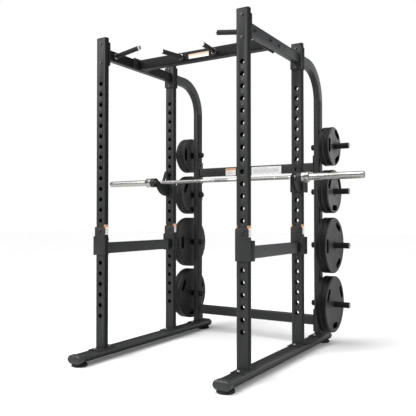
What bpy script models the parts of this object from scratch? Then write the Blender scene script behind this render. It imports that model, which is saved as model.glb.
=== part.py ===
"""Power cage with plate storage, racked barbell, J-cups and safety arms.

Metres, +Z up, X across the cage, -Y its open front. The origin is on the floor, at the
middle of the bounding box. The cage is symmetric about the plane X = 0.
"""

from math import cos, pi, radians, sin

import bmesh
import bpy
from mathutils import Matrix, Vector

# ---- driving dimensions --------------------------------------------------------------
GAP = 0.0003                    # between pieces that touch
WALL = 0.003                    # steel tube wall

SIDE_X = 0.570                  # centre of each side frame
FRONT_Y, REAR_Y = -0.603, 0.247  # uprights
STORE_Y = 0.668                 # storage tubes and the horns' axes

RAIL_W, RAIL_H, RAIL_FLAT = 0.115, 0.054, 0.050
RAIL_Z = 0.050                  # rail centre
RAIL_FRONT, RAIL_REAR = -0.888, 0.822
CAP_LENGTH, CAP_GROWTH = 0.046, 0.004
FOOT_R, FOOT_INSET = 0.055, 0.062

UPRIGHT_W, UPRIGHT_D, UPRIGHT_CORNER = 0.089, 0.042, 0.013
UPRIGHT_TOP, CAP_TOP = 2.285, 2.291
HOLE_R, HOLE_PITCH, HOLE_COUNT, HOLE_Z = 0.0143, 0.075, 23, 0.309
SADDLE_T, SADDLE_W, SADDLE_REACH = 0.0065, 0.100, 0.070

TOP_W, TOP_H, TOP_Z = 0.050, 0.075, 2.1805
FLANGE_W, FLANGE_T = 0.088, 0.011
BEAM_Y, BEAM_D, BEAM_H = -0.197, 0.070, 0.075
BEND_R = 0.244                  # centre line of the arch

CROSS_D, CROSS_H = 0.050, 0.076
CROSS_Z = (1.407, 0.189)

HANDLE_R, CORE_R = 0.0165, 0.0122

HORN_Z = (1.567, 1.211, 0.787, 0.325)
HORN_R, HORN_INNER, HORN_TIP = 0.023, 0.516, 0.829
PLATE_R = (0.1525, 0.171, 0.219, 0.220)
PLATE_T, PLATE_BORE_R, PLATE_START = 0.0432, 0.026, 0.6215
SLOT_TURN = (90, 60, 90, 60)    # degrees, one per plate size
SLOT_LENGTH, SLOT_WIDTH = 0.110, 0.044

BAR_Y, BAR_Z, BAR_HALF, BAR_R = 0.1105, 1.293, 1.105, 0.014
TENON_R, SLEEVE_R, COLLAR_R = 0.0120, 0.025, 0.037
COLLAR_IN, COLLAR_OUT = 0.622, 0.716

ARM_Z, ARM_H, ARM_W = 0.787, 0.078, 0.050
PIN_R, PIN_Z = 0.0105, HOLE_Z + 8 * HOLE_PITCH
JCUP_PIN_Z = HOLE_Z + 13 * HOLE_PITCH


# ---- scene ---------------------------------------------------------------------------
for old in list(bpy.data.objects):
    bpy.data.objects.remove(old, do_unlink=True)

parts = bpy.data.collections.new("power_cage")
cutters = bpy.data.collections.new("cutters")
cutters.hide_render = True
for group in (parts, cutters):
    bpy.context.scene.collection.children.link(group)


def material(name, colour, metallic, roughness):
    made = bpy.data.materials.new(name)
    made.use_nodes = True
    shader = made.node_tree.nodes["Principled BSDF"]
    shader.inputs["Base Color"].default_value = (*colour, 1)
    shader.inputs["Metallic"].default_value = metallic
    shader.inputs["Roughness"].default_value = roughness
    made.diffuse_color = (*colour, 1)
    return made


COAT = material("powder_coat", (0.060, 0.062, 0.063), 0.25, 0.55)
IRON = material("plate_iron", (0.050, 0.051, 0.052), 0.10, 0.50)
CHROME = material("chrome", (0.78, 0.79, 0.80), 1.0, 0.16)
RUBBER = material("rubber", (0.012, 0.012, 0.013), 0.0, 0.75)
PLASTIC = material("plastic", (0.020, 0.020, 0.021), 0.0, 0.45)
CAP_GREY = material("cap_grey", (0.110, 0.112, 0.114), 0.0, 0.45)


# ---- modelling helpers ---------------------------------------------------------------
def helper(mesh):
    """A working object, kept out of the model."""
    made = bpy.data.objects.new("helper", mesh)
    made.hide_render = True
    made.display_type = "WIRE"
    cutters.objects.link(made)
    return made


def from_bmesh(bm, name="shape"):
    bm.normal_update()
    bmesh.ops.recalc_face_normals(bm, faces=bm.faces)
    mesh = bpy.data.meshes.new(name)
    bm.to_mesh(mesh)
    bm.free()
    return mesh


def baked(made):
    """The evaluated mesh of a working object, which is then removed."""
    bpy.context.view_layer.update()
    graph = bpy.context.evaluated_depsgraph_get()
    mesh = bpy.data.meshes.new_from_object(made.evaluated_get(graph))
    mesh.transform(made.matrix_world)
    data = made.data
    bpy.data.objects.remove(made)
    if isinstance(data, bpy.types.Curve):
        bpy.data.curves.remove(data)
        bm = bmesh.new()
        bm.from_mesh(mesh)
        bmesh.ops.remove_doubles(bm, verts=bm.verts, dist=1e-6)
        bmesh.ops.recalc_face_normals(bm, faces=bm.faces)
        bm.to_mesh(mesh)
        bm.free()
    return mesh


def bar(size, centre, axis=None, corner=0.0, segments=2, stretch=(1, 1, 1)):
    """A box whose four edges along axis are rounded; stretch widens it after rounding."""
    bm = bmesh.new()
    bmesh.ops.create_cube(bm, size=1)
    bmesh.ops.scale(bm, vec=[s / k for s, k in zip(size, stretch)], verts=bm.verts)
    if corner:
        edges = [
            e for e in bm.edges
            if abs((e.verts[0].co - e.verts[1].co).normalized()[axis]) > 0.9
        ]
        bmesh.ops.bevel(
            bm, geom=edges, offset=corner, segments=segments, profile=0.5, affect="EDGES"
        )
    bmesh.ops.scale(bm, vec=stretch, verts=bm.verts)
    bmesh.ops.translate(bm, vec=centre, verts=bm.verts)
    return from_bmesh(bm)


def oval_bar(y0, y1, growth=0.0, segments=3):
    """A length of the base rail's flat-oval section, larger all round by growth."""
    height, width = RAIL_H + 2 * growth, RAIL_W + 2 * growth
    radius = height / 2 - 0.0002
    widen = (width - RAIL_FLAT) / (2 * radius)
    return bar(
        (width, y1 - y0, height), (0, (y0 + y1) / 2, RAIL_Z), axis=1,
        corner=radius, segments=segments, stretch=(widen, 1, 1),
    )


def rod(radius, start, end, sides=12, turn=0.0):
    """A round bar between two points."""
    start, end = Vector(start), Vector(end)
    bm = bmesh.new()
    bmesh.ops.create_cone(
        bm, cap_ends=True, segments=sides, radius1=radius, radius2=radius,
        depth=(end - start).length, matrix=Matrix.Rotation(turn, 4, "Z"),
    )
    towards = (end - start).to_track_quat("Z", "Y").to_matrix().to_4x4()
    bm.transform(Matrix.Translation((start + end) / 2) @ towards)
    return from_bmesh(bm)


def turned(profile, steps, closed=False):
    """A body of revolution about Z. The profile is (radius, height), top to bottom."""
    bm = bmesh.new()
    points = [bm.verts.new((r, 0, z)) for r, z in profile]
    for a, b in zip(points, points[1:] + points[:1] if closed else points[1:]):
        bm.edges.new((a, b))
    mesh = bpy.data.meshes.new("profile")
    bm.to_mesh(mesh)
    bm.free()
    made = helper(mesh)
    screw = made.modifiers.new("turn", "SCREW")
    screw.steps = screw.render_steps = steps
    screw.use_merge_vertices = True
    screw.merge_threshold = 0.00001
    made_mesh = baked(made)
    bm = bmesh.new()
    bm.from_mesh(made_mesh)
    bmesh.ops.remove_doubles(bm, verts=bm.verts, dist=1e-6)
    return from_bmesh(bm)


def extruded(outline, thickness, centre, across):
    """A flat outline with a thickness. across is "X" for (y, z) outlines, "Y" for (x, z)."""
    curve = bpy.data.curves.new("outline", "CURVE")
    curve.dimensions = "2D"
    curve.fill_mode = "BOTH"
    curve.extrude = thickness / 2
    spline = curve.splines.new("POLY")
    spline.points.add(len(outline) - 1)
    for point, (u, v) in zip(spline.points, outline):
        point.co = (u, v, 0, 1)
    spline.use_cyclic_u = True
    made = helper(curve)
    if across == "X":
        columns = ((0, 1, 0), (0, 0, 1), (1, 0, 0))
        offset = Vector((centre, 0, 0))
    else:
        columns = ((1, 0, 0), (0, 0, 1), (0, -1, 0))
        offset = Vector((0, centre, 0))
    made.matrix_world = Matrix.Translation(offset) @ Matrix(columns).transposed().to_4x4()
    return baked(made)


def swept(width, depth, corner, path):
    """A rounded tube section, width along X, carried along a path in the plane X = 0."""
    section = bpy.data.curves.new("section", "CURVE")
    section.dimensions = "2D"
    ring = section.splines.new("POLY")
    corners = [
        (sx * (width / 2 - corner), sy * (depth / 2 - corner), turn)
        for sx, sy, turn in ((1, 1, 0), (-1, 1, 90), (-1, -1, 180), (1, -1, 270))
    ]
    points = [
        (x + corner * cos(radians(turn + a)), y + corner * sin(radians(turn + a)))
        for x, y, turn in corners for a in (0, 45, 90)
    ]
    ring.points.add(len(points) - 1)
    for point, (u, v) in zip(ring.points, points):
        point.co = (u, v, 0, 1)
    ring.use_cyclic_u = True
    shape = helper(section)
    curve = bpy.data.curves.new("path", "CURVE")
    curve.dimensions = "3D"
    curve.bevel_mode = "OBJECT"
    curve.bevel_object = shape
    curve.use_fill_caps = True
    spline = curve.splines.new("POLY")
    spline.points.add(len(path) - 1)
    for point, (y, z) in zip(spline.points, path):
        point.co = (0, y, z, 1)
    mesh = baked(helper(curve))
    bpy.data.objects.remove(shape)
    bpy.data.curves.remove(section)
    return mesh


def joined(base, add=(), cut=()):
    """The base mesh with others united to it, then others taken away from it."""
    made = helper(base)
    others = []
    for meshes, operation in ((add, "UNION"), (cut, "DIFFERENCE")):
        for mesh in meshes:
            others.append(helper(mesh))
            step = made.modifiers.new(operation.lower(), "BOOLEAN")
            step.operation = operation
            step.solver = "EXACT"
            step.object = others[-1]
    mesh = baked(made)
    for other in others:
        bpy.data.objects.remove(other)
    return mesh


def merged(meshes):
    """Meshes that don't touch, in one, for use as a single cutter."""
    bm = bmesh.new()
    for mesh in meshes:
        bm.from_mesh(mesh)
    return from_bmesh(bm)


def moved(mesh, offset=(0, 0, 0), turn=None):
    copy = mesh.copy()
    if turn is not None:
        copy.transform(turn)
    copy.transform(Matrix.Translation(offset))
    return copy


def mirrored(mesh):
    """The same shape for the other side of the cage."""
    copy = mesh.copy()
    copy.transform(Matrix.Scale(-1, 4, (1, 0, 0)))
    copy.flip_normals()
    return copy


root = bpy.data.objects.new("power_cage_root", None)
parts.objects.link(root)
origins = {root.name: Vector((0, 0, 0))}


def place(name, mesh, origin, finish, parent=root, smooth=40):
    """One named piece. The mesh is measured from the origin given, in the cage's frame."""
    if not mesh.materials:
        mesh.materials.append(finish)
        mesh.shade_smooth()
        mesh.set_sharp_from_angle(angle=radians(smooth))
    made = bpy.data.objects.new(name, mesh)
    parts.objects.link(made)
    made.parent = parent
    origins[name] = Vector(origin)
    made.location = origins[name] - origins[parent.name]
    return made


SIDES = (("left", -1), ("right", 1))


def on_sides(mesh):
    """(name, sign, mesh) for each side, from the right-hand mesh."""
    return (("left", -1, mirrored(mesh)), ("right", 1, mesh))


def saddle(depth):
    """The curved foot plate that hugs the rail under a tube of this depth, still whole."""
    reach = depth / 2 + SADDLE_REACH
    plate = oval_bar(-reach, reach, growth=SADDLE_T)
    keep = bar((SADDLE_W, 3 * reach, 0.08), (0, 0, 0.062 + 0.04))
    made = helper(plate)
    other = helper(keep)
    step = made.modifiers.new("trim", "BOOLEAN")
    step.operation = "INTERSECT"
    step.solver = "EXACT"
    step.object = other
    mesh = baked(made)
    bpy.data.objects.remove(other)
    return mesh


def rail_clearance(depth):
    reach = depth / 2 + SADDLE_REACH + 0.02
    return oval_bar(-reach, reach, growth=GAP)


# ---- base rails, their caps and feet ---------------------------------------------------
rail_start, rail_end = RAIL_FRONT + CAP_LENGTH, RAIL_REAR - CAP_LENGTH
hollow_rail = joined(
    oval_bar(rail_start + GAP, rail_end - GAP),
    cut=[oval_bar(rail_start - 0.01, rail_end + 0.01, growth=-WALL)],
)
cap = bar(
    (RAIL_W + CAP_GROWTH, CAP_LENGTH, RAIL_H + 2 * CAP_GROWTH), (0, 0, RAIL_Z), axis=1,
    corner=RAIL_H / 2 + CAP_GROWTH - 0.0002, segments=3, stretch=(1.06, 1, 1),
)
bm = bmesh.new()
bm.from_mesh(cap)
bmesh.ops.bevel(
    bm, geom=[e for e in bm.edges if all(v.co.y < -0.4 * CAP_LENGTH for v in e.verts)],
    offset=0.012, segments=2, profile=0.5, affect="EDGES",
)
cap = from_bmesh(bm)
foot = turned(
    [(0, 0.0227), (0.0125, 0.0227), (0.0125, 0.0185), (0.048, 0.0185), (FOOT_R, 0.012),
     (FOOT_R, 0.004), (FOOT_R - 0.004, 0), (0, 0)], 16,
)
half_turn = Matrix.Rotation(pi, 4, "Z")
rear_cap = moved(cap, turn=half_turn)
for side, sign in SIDES:
    x = sign * SIDE_X
    place(f"base_rail_{side}", hollow_rail, (x, 0, 0), COAT)
    place(f"rail_cap_front_{side}", cap, (x, RAIL_FRONT + CAP_LENGTH / 2, 0), CAP_GREY)
    place(f"rail_cap_rear_{side}", rear_cap, (x, RAIL_REAR - CAP_LENGTH / 2, 0), CAP_GREY)
    place(f"foot_front_{side}", foot, (x, RAIL_FRONT + FOOT_INSET, 0), RUBBER)
    place(f"foot_rear_{side}", foot, (x, RAIL_REAR - FOOT_INSET, 0), RUBBER)

# ---- uprights --------------------------------------------------------------------------
rail_top = RAIL_Z + RAIL_H / 2
upright_size = (UPRIGHT_W, UPRIGHT_D, UPRIGHT_TOP - 0.06)
upright_mid = (0, 0, (UPRIGHT_TOP + 0.06) / 2)
upright_bore = (UPRIGHT_W - 2 * WALL, UPRIGHT_D - 2 * WALL, UPRIGHT_TOP + 0.1)
holes = merged([
    rod(HOLE_R, (0, -0.05, HOLE_Z + i * HOLE_PITCH), (0, 0.05, HOLE_Z + i * HOLE_PITCH),
        sides=6)
    for i in range(HOLE_COUNT)
])
upright = joined(
    bar(upright_size, upright_mid, axis=2, corner=UPRIGHT_CORNER),
    add=[saddle(UPRIGHT_D)],
    cut=[
        rail_clearance(UPRIGHT_D),
        bar(upright_bore, upright_mid, axis=2, corner=UPRIGHT_CORNER - WALL),
        holes,
    ],
)
upright_cap = joined(
    bar((UPRIGHT_W + 0.001, UPRIGHT_D + 0.001, CAP_TOP - UPRIGHT_TOP - GAP),
        (0, 0, (CAP_TOP + UPRIGHT_TOP + GAP) / 2), axis=2, corner=UPRIGHT_CORNER),
    add=[bar((UPRIGHT_W - 2 * WALL - 0.001, UPRIGHT_D - 2 * WALL - 0.001, 0.024),
             (0, 0, UPRIGHT_TOP - 0.010), axis=2, corner=UPRIGHT_CORNER - WALL)],
)
for side, sign in SIDES:
    for end, y in (("front", FRONT_Y), ("rear", REAR_Y)):
        place(f"upright_{end}_{side}", upright, (sign * SIDE_X, y, 0), COAT)
        place(f"upright_cap_{end}_{side}", upright_cap, (sign * SIDE_X, y, 0), PLASTIC)

# ---- pull-up handles: a steel core with end disc, and a rubber grip on it ---------------
OUTER_HANDLE = ((0.545, -0.495, 2.180), (0.316, -0.501, 2.212))
INNER_HANDLE = ((0.138, -0.232, 2.182), (0.170, -0.448, 2.179))


def handle(ends, sink):
    """(core, grip) along a handle; the core starts this far inside its tube."""
    start, end = Vector(ends[0]), Vector(ends[1])
    length = (end - start).length
    core = turned([
        (0, length), (HANDLE_R - 0.001, length), (HANDLE_R, length - 0.002),
        (HANDLE_R, length - 0.008), (CORE_R, length - 0.008), (CORE_R, 0.014),
        (0.021, 0.014), (0.021, -sink), (0, -sink),
    ], 12)
    grip = turned([
        (CORE_R + GAP, length - 0.008 - GAP), (HANDLE_R, length - 0.008 - GAP),
        (HANDLE_R, 0.014 + GAP), (CORE_R + GAP, 0.014 + GAP),
    ], 12, closed=True)
    towards = Matrix.Translation(start) @ (end - start).to_track_quat("Z", "Y").to_matrix().to_4x4()
    return moved(core, turn=towards), moved(grip, turn=towards)


outer_core, outer_grip = handle(OUTER_HANDLE, 0.002)
inner_core, inner_grip = handle(INNER_HANDLE, 0.002)

# ---- top side rails ----------------------------------------------------------------------
top_front = FRONT_Y + UPRIGHT_D / 2 + GAP
top_back = REAR_Y - UPRIGHT_D / 2 - GAP


def plate_y(y0, y1, x0, x1, z0, z1, corner=0.010, segments=1):
    """A rectangular plate facing Y with rounded corners."""
    return bar((x1 - x0, y1 - y0, z1 - z0), ((x0 + x1) / 2, (y0 + y1) / 2, (z0 + z1) / 2),
               axis=1, corner=corner, segments=segments)


def plate_x(x0, x1, y0, y1, z0, z1, corner=0.010, segments=1):
    """A rectangular plate facing X with rounded corners."""
    return bar((x1 - x0, y1 - y0, z1 - z0), ((x0 + x1) / 2, (y0 + y1) / 2, (z0 + z1) / 2),
               axis=0, corner=corner, segments=segments)


def tube_y(y0, y1, width, height, z, x=0.0, over=0.0):
    size = (width, y1 - y0 + 2 * over, height)
    return bar(size, (x, (y0 + y1) / 2, z), axis=1, corner=0.008 if not over else 0.005)


top_rail = joined(
    tube_y(top_front, top_back, TOP_W, TOP_H, TOP_Z, x=SIDE_X),
    add=[
        plate_y(top_front, top_front + FLANGE_T, SIDE_X - FLANGE_W / 2,
                SIDE_X + FLANGE_W / 2, 2.094, 2.266),
        plate_y(top_back - FLANGE_T, top_back, SIDE_X - FLANGE_W / 2,
                SIDE_X + FLANGE_W / 2, 2.094, 2.266),
        outer_core,
    ],
    cut=[tube_y(top_front, top_back, TOP_W - 2 * WALL, TOP_H - 2 * WALL, TOP_Z,
                x=SIDE_X, over=0.01)],
)
for side, sign, mesh in on_sides(top_rail):
    place(f"top_rail_{side}", moved(mesh, (-sign * SIDE_X, 0, -TOP_Z)),
          (sign * SIDE_X, 0, TOP_Z), COAT)
for side, sign, mesh in on_sides(outer_grip):
    start = Vector(OUTER_HANDLE[0])
    start.x *= sign
    place(f"grip_outer_{side}", moved(mesh, -start), start, RUBBER)

# ---- pull-up beam ----------------------------------------------------------------------------
beam_end = SIDE_X - TOP_W / 2 - GAP
beam = joined(
    bar((2 * beam_end, BEAM_D, BEAM_H), (0, BEAM_Y, TOP_Z), axis=0, corner=0.008),
    add=[
        plate_x(sign * beam_end - (0.008 if sign > 0 else 0),
                sign * beam_end + (0 if sign > 0 else 0.008),
                BEAM_Y - 0.095, BEAM_Y + 0.095, TOP_Z - 0.044, TOP_Z + 0.044)
        for _, sign in SIDES
    ] + [inner_core, mirrored(inner_core)],
    cut=[bar((2 * beam_end + 0.02, BEAM_D - 2 * WALL, BEAM_H - 2 * WALL),
             (0, BEAM_Y, TOP_Z), axis=0, corner=0.005)],
)
place("pull_up_beam", moved(beam, (0, -BEAM_Y, -TOP_Z)), (0, BEAM_Y, TOP_Z), COAT)
for side, sign, mesh in on_sides(inner_grip):
    start = Vector(INNER_HANDLE[0])
    start.x *= sign
    place(f"grip_inner_{side}", moved(mesh, -start), start, RUBBER)

# ---- storage arches, each with four weight horns -----------------------------------------------
arch_start = REAR_Y + UPRIGHT_D / 2 + GAP
bend_y, bend_z = STORE_Y - BEND_R, TOP_Z - BEND_R
BEND_STEPS = 7


def arch_path(lead):
    bend = [
        (bend_y + BEND_R * sin(radians(a)), bend_z + BEND_R * cos(radians(a)))
        for a in (90 * i / BEND_STEPS for i in range(BEND_STEPS + 1))
    ]
    return [(arch_start + 0.003 - lead, TOP_Z)] + bend + [(STORE_Y, 0.060 - lead)]


horns = [
    turned([(0, HORN_TIP - 0.56), (HORN_R - 0.002, HORN_TIP - 0.56),
            (HORN_R, HORN_TIP - 0.562), (HORN_R, HORN_INNER - 0.554),
            (HORN_R - 0.006, HORN_INNER - 0.56), (0, HORN_INNER - 0.56)], 10)
    for _ in HORN_Z
]
to_x = Matrix.Rotation(pi / 2, 4, "Y")
horns = [
    moved(horn, (0.56 - SIDE_X, STORE_Y, z), turn=to_x) for horn, z in zip(horns, HORN_Z)
]
storage_saddle = moved(saddle(TOP_H), (0, STORE_Y, 0))
arch = joined(
    swept(TOP_W, TOP_H, 0.008, arch_path(0)),
    add=[
        storage_saddle,
        plate_y(arch_start, arch_start + FLANGE_T, -FLANGE_W / 2, FLANGE_W / 2, 2.094, 2.270),
    ],
    cut=[
        moved(rail_clearance(TOP_H), (0, STORE_Y, 0)),
        swept(TOP_W - 2 * WALL, TOP_H - 2 * WALL, 0.005, arch_path(0.02)),
    ],
)
arch = joined(arch, add=horns)
for side, sign, mesh in on_sides(arch):
    place(f"storage_arch_{side}", moved(mesh, (0, -STORE_Y, 0)),
          (sign * SIDE_X, STORE_Y, 0), COAT)

# ---- rear cross members ----------------------------------------------------------------------------
cross_end = SIDE_X - TOP_W / 2 - GAP
for name, z in zip(("upper", "lower"), CROSS_Z):
    half = 0.096 if name == "upper" else 0.0895
    member = joined(
        bar((2 * cross_end, CROSS_D, CROSS_H), (0, 0, 0), axis=0, corner=0.008),
        add=[
            plate_x(sign * cross_end - (0.008 if sign > 0 else 0),
                    sign * cross_end + (0 if sign > 0 else 0.008),
                    -0.034, 0.034, -half, half)
            for _, sign in SIDES
        ],
        cut=[bar((2 * cross_end + 0.02, CROSS_D - 2 * WALL, CROSS_H - 2 * WALL), (0, 0, 0),
                 axis=0, corner=0.005)],
    )
    place(f"cross_member_{name}", member, (0, STORE_Y, z), COAT)


# ---- weight plates ---------------------------------------------------------------------------------
def grip_slot(radius, angle):
    """A cutter for one hand slot: a long round-ended hole near the rim."""
    slot = bar((0.2, SLOT_LENGTH, SLOT_WIDTH), (0, 0, 0), axis=0, corner=0.016, segments=1)
    turn = Matrix.Rotation(radians(angle), 4, "X")
    return moved(moved(slot, (0, 0, 0.75 * radius)), turn=turn)


def weight_plate(radius, first_slot):
    half = PLATE_T / 2
    disc = turned([
        (PLATE_BORE_R, half), (radius - 0.009, half), (radius, half - 0.010),
        (radius, 0.010 - half), (radius - 0.009, -half), (PLATE_BORE_R, -half),
    ], 16, closed=True)
    return joined(
        moved(disc, turn=to_x),
        cut=[grip_slot(radius, first_slot + k * 120) for k in range(3)],
    )


def stack_x(order):
    """Centre of the first or second plate on a horn."""
    return PLATE_START + PLATE_T / 2 + order * (PLATE_T + GAP)


for number, (z, radius, turn) in enumerate(zip(HORN_Z, PLATE_R, SLOT_TURN), 1):
    plate = weight_plate(radius, turn)
    for side, sign in SIDES:
        inner = place(f"plate_{side}_{number}_inner", plate,
                      (sign * stack_x(0), STORE_Y, z), IRON)
        place(f"plate_{side}_{number}_outer", plate,
              (sign * stack_x(1), STORE_Y, z), IRON, parent=inner)

# ---- barbell: a shaft and two sleeves that turn on its ends --------------------------------------------
tenon_end = BAR_HALF - 0.020
shaft_profile = [
    (0, tenon_end), (TENON_R, tenon_end), (TENON_R, COLLAR_IN - GAP),
    (BAR_R, COLLAR_IN - GAP), (BAR_R, GAP - COLLAR_IN), (TENON_R, GAP - COLLAR_IN),
    (TENON_R, -tenon_end), (0, -tenon_end),
]
shaft = moved(turned(shaft_profile, 16), turn=to_x)
sleeve_bore = TENON_R + 0.0008
sleeve = moved(turned([
    (0, BAR_HALF), (SLEEVE_R - 0.002, BAR_HALF), (SLEEVE_R, BAR_HALF - 0.002),
    (SLEEVE_R, COLLAR_OUT), (COLLAR_R, COLLAR_OUT), (COLLAR_R, COLLAR_IN),
    (sleeve_bore, COLLAR_IN), (sleeve_bore, tenon_end + 0.001), (0, tenon_end + 0.001),
], 16), turn=to_x)
bar_shaft = place("bar_shaft", shaft, (0, BAR_Y, BAR_Z), CHROME)
for side, sign, mesh in on_sides(sleeve):
    place(f"bar_sleeve_{side}", moved(mesh, (-sign * COLLAR_IN, 0, 0)),
          (sign * COLLAR_IN, BAR_Y, BAR_Z), CHROME, parent=bar_shaft)

# ---- J-cups ------------------------------------------------------------------------------------------------
SEAT_R = BAR_R + 0.004
cup_back = REAR_Y - UPRIGHT_D / 2 - GAP     # face against the upright
ellipse_y, ellipse_z = 0.2160, 1.290


def arc(cy, cz, ry, rz, start, end, steps):
    return [
        (cy + ry * cos(radians(start + (end - start) * i / steps)),
         cz + rz * sin(radians(start + (end - start) * i / steps)))
        for i in range(steps + 1)
    ]


lip_y = BAR_Y - SEAT_R
ramp = (0.168, 1.3055)
hook_outline = (
    [(ellipse_y + 0.004, ramp[1]), ramp]
    + arc(BAR_Y, BAR_Z, SEAT_R, SEAT_R, 300, 180, 5)
    + [(lip_y, 1.306), (lip_y - 0.003, 1.309), (0.0865, 1.309), (0.0835, 1.306)]
    + arc(ellipse_y, ellipse_z, ellipse_y - 0.0835, 0.103, 180, 270, 6)
    + [(ellipse_y + 0.004, 1.187)]
)
guide_outline = [
    (0.160, 1.296), (0.168, 1.306), (0.2075, 1.394), (0.2130, 1.392), (0.1740, 1.300),
]
jcup = joined(
    extruded(hook_outline, 0.024, 0.594, "X"),
    add=[
        plate_y(cup_back - 0.006, cup_back, 0.521, 0.6165, 1.190, 1.310),
        plate_x(0.6155, 0.6250, cup_back - 0.006, 0.308, 1.190, 1.272),
        extruded(guide_outline, 0.028, 0.594, "X"),
        rod(PIN_R, (SIDE_X, cup_back - 0.004, JCUP_PIN_Z),
            (SIDE_X, REAR_Y + 0.014, JCUP_PIN_Z), sides=8, turn=pi / 8),
    ],
)
liner_outline = (
    arc(BAR_Y, BAR_Z, SEAT_R - GAP, SEAT_R - GAP, 300, 180, 5)
    + [(lip_y + GAP, 1.304), (lip_y + 0.0035, 1.304)]
    + arc(BAR_Y, BAR_Z, BAR_R + 0.0005, BAR_R + 0.0005, 180, 300, 5)
)
liner = extruded(liner_outline, 0.0234, 0.594, "X")
for side, sign, mesh in on_sides(jcup):
    origin = Vector((sign * SIDE_X, cup_back, JCUP_PIN_Z))
    holder = place(f"jcup_{side}", moved(mesh, -origin), origin, COAT)
    lining = mirrored(liner) if sign < 0 else liner
    place(f"jcup_liner_{side}", moved(lining, -origin), origin, PLASTIC, parent=holder)

# ---- safety arms with their brackets, and the pins that lock them -------------------------------------------
BRACKET_T = 0.008


def bracket(upright_y, rear_plate):
    """The front, side and rear plates that wrap an upright from its outer side."""
    front = upright_y - UPRIGHT_D / 2 - GAP - BRACKET_T
    back = upright_y + UPRIGHT_D / 2 + 0.002
    face = [
        (0.524, 0.737), (0.626, 0.737), (0.630, 0.741), (0.630, 0.869), (0.626, 0.873),
        (0.616, 0.873), (0.616, 0.928), (0.604, 0.940), (0.536, 0.940), (0.524, 0.928),
    ]
    plates = [
        extruded(face, BRACKET_T, front + BRACKET_T / 2, "Y"),
        bar((0.0080, back + rear_plate - front, 0.128), (0.626, (front + back + rear_plate) / 2,
            0.801)),
        bar((0.090, rear_plate, 0.128), (0.585, back + rear_plate / 2, 0.801)),
    ]
    return front, plates


front_face, front_plates = bracket(FRONT_Y, 0.012)
rear_face, rear_plates = bracket(REAR_Y, 0.012)
arm_start = FRONT_Y + UPRIGHT_D / 2 + 0.006
arm_end = rear_face + 0.004
pin_holes = [
    rod(PIN_R + 0.0012, (SIDE_X, face - 0.02, PIN_Z), (SIDE_X, face + 0.02, PIN_Z),
        sides=8, turn=pi / 8)
    for face in (front_face, rear_face)
]
arm = joined(
    front_plates[0],
    add=front_plates[1:] + rear_plates + [
        tube_y(arm_start, arm_end, ARM_W, ARM_H, ARM_Z, x=SIDE_X),
    ],
    cut=pin_holes + [
        tube_y(arm_start + 0.002, arm_end, ARM_W - 2 * WALL, ARM_H - 2 * WALL, ARM_Z,
               x=SIDE_X, over=0.012),
    ],
)
for side, sign, mesh in on_sides(arm):
    place(f"safety_arm_{side}", moved(mesh, (-sign * SIDE_X, 0, -ARM_Z)),
          (sign * SIDE_X, 0, ARM_Z), COAT)
pin = turned([
    (0, 0.007), (0.010, 0.007), (0.0135, 0.004), (0.0135, 0), (PIN_R, 0),
    (PIN_R, -0.036), (0.006, -0.042), (0, -0.042),
], 8)
pin = moved(pin, turn=Matrix.Rotation(pi / 2, 4, "X") @ Matrix.Rotation(pi / 8, 4, "Z"))
for side, sign in SIDES:
    for end, face in (("front", front_face), ("rear", rear_face)):
        place(f"safety_pin_{end}_{side}", pin, (sign * SIDE_X, face - GAP, PIN_Z), CHROME)

bpy.data.collections.remove(cutters)
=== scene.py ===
"""The looks of the power cage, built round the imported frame. Metres, +Z up."""

from math import atan2, cos, pi, radians, sin

import bmesh
import bpy
from mathutils import Matrix, Vector


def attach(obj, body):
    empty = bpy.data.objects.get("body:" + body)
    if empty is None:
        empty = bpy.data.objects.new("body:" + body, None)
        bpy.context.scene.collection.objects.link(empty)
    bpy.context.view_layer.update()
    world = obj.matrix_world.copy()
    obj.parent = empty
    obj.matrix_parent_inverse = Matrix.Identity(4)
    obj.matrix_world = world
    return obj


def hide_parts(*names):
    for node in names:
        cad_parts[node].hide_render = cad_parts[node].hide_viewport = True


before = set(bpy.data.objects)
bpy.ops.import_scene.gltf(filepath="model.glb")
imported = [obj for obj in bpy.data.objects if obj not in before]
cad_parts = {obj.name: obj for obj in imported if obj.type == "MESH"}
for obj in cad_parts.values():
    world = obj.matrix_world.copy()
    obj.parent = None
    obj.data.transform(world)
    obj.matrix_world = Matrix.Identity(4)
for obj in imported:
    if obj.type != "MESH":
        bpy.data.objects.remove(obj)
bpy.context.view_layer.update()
scene = bpy.context.scene
scene.view_settings.view_transform = "Standard"

# ---- camera --------------------------------------------------------------------------------
camera = bpy.data.objects.new("camera", bpy.data.cameras.new("camera"))
camera.data.lens = 49.79
camera.data.sensor_width = 36
camera.location = (2.2169, -3.7165, 1.0007)
camera.rotation_euler = (radians(91.014), 0, radians(31.435))
scene.collection.objects.link(camera)
scene.camera = camera

# ---- dimensions, as in the CAD ---------------------------------------------------------------
SX = 0.570
FRONT_Y, REAR_Y, STORE_Y = -0.603, 0.247, 0.668
TOP_Z, BEAM_Y = 2.1805, -0.197
RAIL_Z = 0.050
HOLE_PITCH = 0.075
HOLES = [0.309 + HOLE_PITCH * i for i in range(23)]
HORN_Z = (1.567, 1.211, 0.787, 0.325)
PLATE_R = (0.1525, 0.171, 0.219, 0.220)
SLOT_TURN = (90, 60, 90, 60)
PLATE_T, PLATE_START = 0.0432, 0.6215
BAR_Y, BAR_Z = 0.1105, 1.293
ARM_Z, PIN_Z, JPIN_Z = 0.787, 0.909, 1.284
UPRIGHT = (0.089, 0.042, 0.013)     # width, depth, corner radius
TUBE = (0.050, 0.075, 0.009)        # the same of a top rail or an arch
FLANGE_IN, FLANGE_OUT = 0.5367, 0.5447      # |X| of the faces of the flanges between the sides
SADDLE_TOP = 0.0836
STICKER_T, PRINT_T = 0.0003, 0.00018
SIDES = (("left", -1), ("right", 1))


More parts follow.
